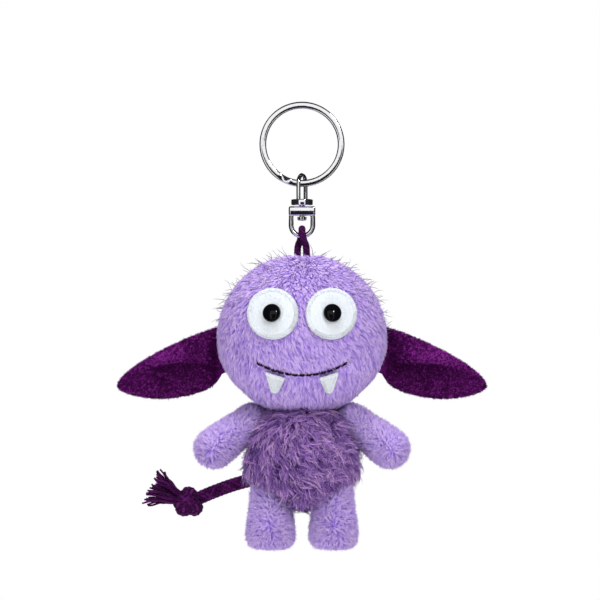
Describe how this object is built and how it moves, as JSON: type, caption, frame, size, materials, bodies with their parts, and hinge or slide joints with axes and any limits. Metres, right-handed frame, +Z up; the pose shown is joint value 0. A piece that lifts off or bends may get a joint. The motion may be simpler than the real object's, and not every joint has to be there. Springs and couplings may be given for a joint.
{
  "type": "plush key chain",
  "caption": "Stuffed creature with drooping side ears, stubby limbs and a knotted cord tail, hung by a cord loop and swivel from a split key ring.",
  "frame": {"origin": "inner top of the key ring, where a hook or a key bears", "axes": "+Z up along the hanging toy, -Y the way it faces, +X to the viewer's right"},
  "size_m": [0.1286, 0.0577, 0.1566],
  "materials": {
    "chrome": "polished",
    "plum_cord": "matte braid",
    "plum_velour": "velour",
    "lilac_plush": "curly pile",
    "mauve_shag": "long shag",
    "white_felt": "felt",
    "black_gloss": "polished",
    "dark_thread": "matte",
    "stuffing": "fibre",
    "washer_plastic": "satin"
  },
  "bodies": {
    "key_ring": {"split_ring": "chrome"},
    "eye": {"swivel_eye": "chrome"},
    "yoke": {"swivel_yoke": "chrome"},
    "head": {"head_skin": "lilac_plush", "head_filling": "stuffing", "hang_loop": "plum_cord", "loop_knot": "plum_cord", "mouth_thread": "dark_thread", "eye_felt_left": "white_felt", "eye_bead_left": "black_gloss", "eye_washer_left": "washer_plastic", "fang_left": "white_felt", "eye_felt_right": "white_felt", "eye_bead_right": "black_gloss", "eye_washer_right": "washer_plastic", "fang_right": "white_felt"},
    "torso": {"body_skin": "mauve_shag", "body_filling": "stuffing"},
    "tail": {"tail_cord": "plum_cord", "tail_knot": "plum_cord", "tail_fringe": "plum_cord"},
    "ear_left": {"ear_left": "plum_velour"},
    "arm_left": {"arm_skin_left": "lilac_plush", "arm_filling_left": "stuffing"},
    "leg_left": {"leg_skin_left": "lilac_plush", "leg_filling_left": "stuffing"},
    "ear_right": {"ear_right": "plum_velour"},
    "arm_right": {"arm_skin_right": "lilac_plush", "arm_filling_right": "stuffing"},
    "leg_right": {"leg_skin_right": "lilac_plush", "leg_filling_right": "stuffing"}
  },
  "joints": [
    {"name": "eye_swing", "type": "hinge", "parent": "key_ring", "child": "eye", "pos_m": [0, 0, -0.0262], "axis": [1, 0, 0], "range_deg": [-90, 90]},
    {"name": "yoke_spin", "type": "hinge", "parent": "eye", "child": "yoke", "pos_m": [0, 0, -0.0342], "axis": [0, 0, 1], "continuous": true},
    {"name": "loop_swing", "type": "hinge", "parent": "yoke", "child": "head", "pos_m": [0, 0, -0.0446], "axis": [1, 0, 0], "range_deg": [-60, 60]},
    {"name": "neck_turn", "type": "hinge", "parent": "head", "child": "torso", "pos_m": [0, 0, -0.06396], "axis": [0, 0, 1], "range_deg": [-35, 35], "stiffness_Nm_per_rad": 0.01},
    {"name": "tail_wag", "type": "hinge", "parent": "torso", "child": "tail", "pos_m": [0, 0.0171, -0.13], "axis": [0, 0, 1], "range_deg": [-40, 40], "stiffness_Nm_per_rad": 0.002},
    {"name": "ear_flap_left", "type": "hinge", "parent": "head", "child": "ear_left", "pos_m": [-0.03113, 0, -0.085], "axis": [0, 0, 1], "range_deg": [-50, 50], "stiffness_Nm_per_rad": 0.002},
    {"name": "arm_lift_left", "type": "hinge", "parent": "torso", "child": "arm_left", "pos_m": [-0.0175, 0, -0.10896], "axis": [0, 1, 0], "range_deg": [0, 35], "stiffness_Nm_per_rad": 0.003},
    {"name": "leg_swing_left", "type": "hinge", "parent": "torso", "child": "leg_left", "pos_m": [-0.011, -0.002, -0.1345], "axis": [-1, 0, 0], "range_deg": [-12, 35], "stiffness_Nm_per_rad": 0.003},
    {"name": "ear_flap_right", "type": "hinge", "parent": "head", "child": "ear_right", "pos_m": [0.03113, 0, -0.085], "axis": [0, 0, -1], "range_deg": [-50, 50], "stiffness_Nm_per_rad": 0.002},
    {"name": "arm_lift_right", "type": "hinge", "parent": "torso", "child": "arm_right", "pos_m": [0.0175, 0, -0.10896], "axis": [0, -1, 0], "range_deg": [0, 35], "stiffness_Nm_per_rad": 0.003},
    {"name": "leg_swing_right", "type": "hinge", "parent": "torso", "child": "leg_right", "pos_m": [0.011, -0.002, -0.1345], "axis": [-1, 0, 0], "range_deg": [-12, 35], "stiffness_Nm_per_rad": 0.003}
  ]
}
